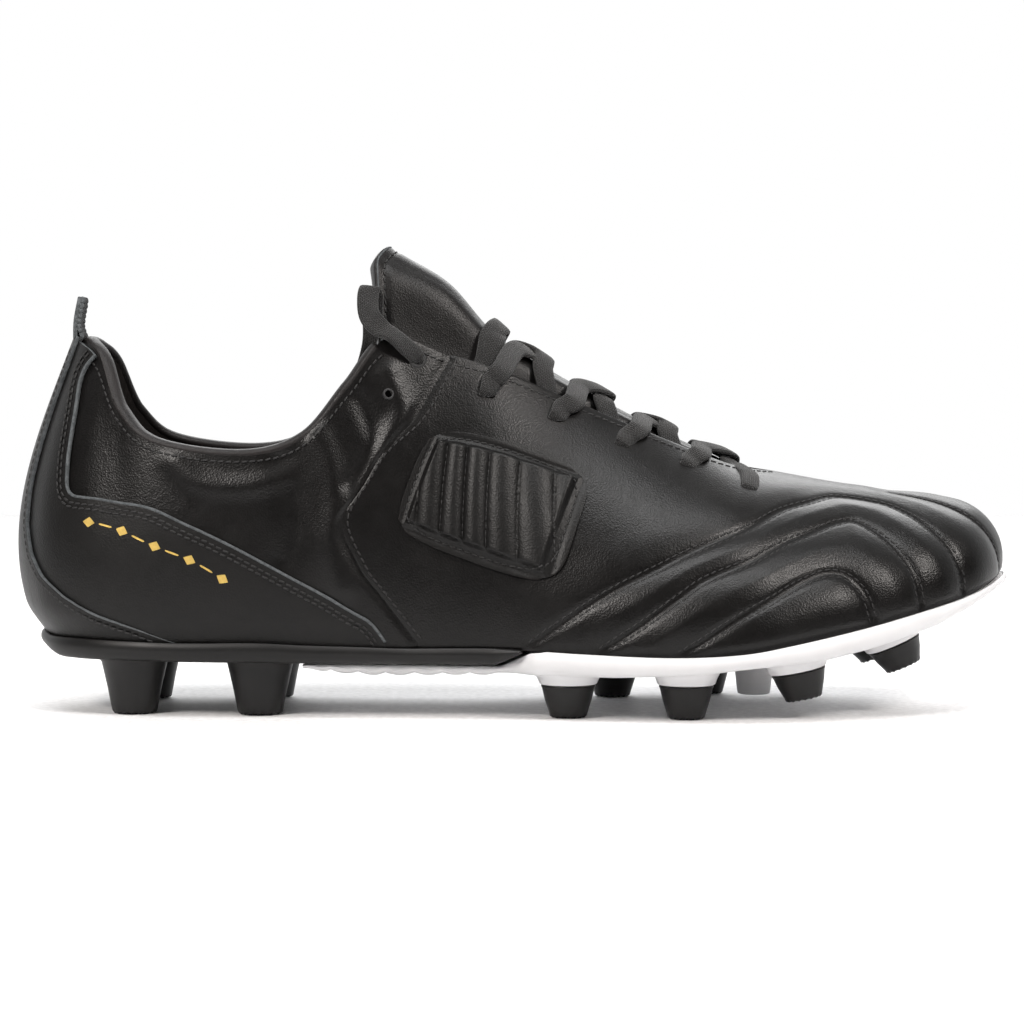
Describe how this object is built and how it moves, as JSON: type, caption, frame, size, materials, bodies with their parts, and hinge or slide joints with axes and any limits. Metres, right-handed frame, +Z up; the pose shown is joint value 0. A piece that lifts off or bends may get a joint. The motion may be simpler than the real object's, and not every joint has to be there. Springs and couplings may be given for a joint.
{
  "type": "soccer cleat",
  "caption": "Low-cut right soccer cleat in black leather with quilted toe, tied-down lace, two-colour sole and tapered studs.",
  "frame": {"origin": "middle of the boot's length and width, on the floor that the studs stand on", "axes": "+X towards the toe, +Y towards the inner side of the foot, +Z up"},
  "size_m": [0.2971, 0.1022, 0.1372],
  "materials": {
    "black_leather": "satin smooth-grain leather",
    "black_overlay": "satin coated leather with raw cut edge",
    "black_lining": "matt textile lining",
    "grey_foam": "matt open foam",
    "fibre_board": "matt pressed fibre",
    "black_sole": "satin moulded plastic",
    "white_sole": "satin moulded plastic",
    "black_woven": "matt flat weave",
    "clear_black": "gloss tube"
  },
  "bodies": {
    "boot": {"aglet_lateral": "clear_black", "aglet_medial": "clear_black", "backstay": "black_overlay", "collar_foam": "grey_foam", "heel_counter": "fibre_board", "heel_overlay_lateral": "black_overlay", "heel_overlay_medial": "black_overlay", "heel_stud_lateral_front": "black_sole", "heel_stud_lateral_rear": "black_sole", "heel_stud_medial_front": "black_sole", "heel_stud_medial_rear": "black_sole", "insole_board": "fibre_board", "lace": "black_woven", "outsole_forefoot_plate": "white_sole", "outsole_heel_shell": "black_sole", "quarter_lining": "black_lining", "rear_quarter_lateral": "black_leather", "rear_quarter_medial": "black_leather", "side_patch_lateral": "black_overlay", "side_patch_medial": "black_overlay", "stud_tip_lateral_1": "black_sole", "stud_tip_lateral_2": "black_sole", "stud_tip_lateral_3": "black_sole", "stud_tip_lateral_4": "black_sole", "stud_tip_medial_1": "black_sole", "stud_tip_medial_2": "black_sole", "stud_tip_medial_3": "black_sole", "stud_tip_medial_4": "black_sole", "toe_puff": "fibre_board", "vamp": "black_leather", "vamp_foam_lateral": "grey_foam", "vamp_foam_medial": "grey_foam", "vamp_lining": "black_lining"},
    "tongue_assembly": {"tongue": "black_leather", "tongue_foam": "grey_foam", "tongue_lining": "black_lining"},
    "pull_tab_body": {"pull_tab": "black_overlay"},
    "sockliner_body": {"sockliner": "black_lining"}
  },
  "joints": [
    {"name": "tongue_hinge", "type": "hinge", "parent": "boot", "child": "tongue_assembly", "pos_m": [0.07195, 0.0024, 0.064], "axis": [0, 1, 0], "range_deg": [-5, 0]},
    {"name": "pull_tab_bend", "type": "hinge", "parent": "boot", "child": "pull_tab_body", "pos_m": [-0.13085, 0.0024, 0.1105], "axis": [0, 1, 0], "range_deg": [-60, 40], "stiffness_Nm_per_rad": 0.0005},
    {"name": "sockliner_lift", "type": "hinge", "parent": "boot", "child": "sockliner_body", "pos_m": [0.13925, 0.0024, 0.0415], "axis": [0, 1, 0], "range_deg": [0, 5]}
  ]
}
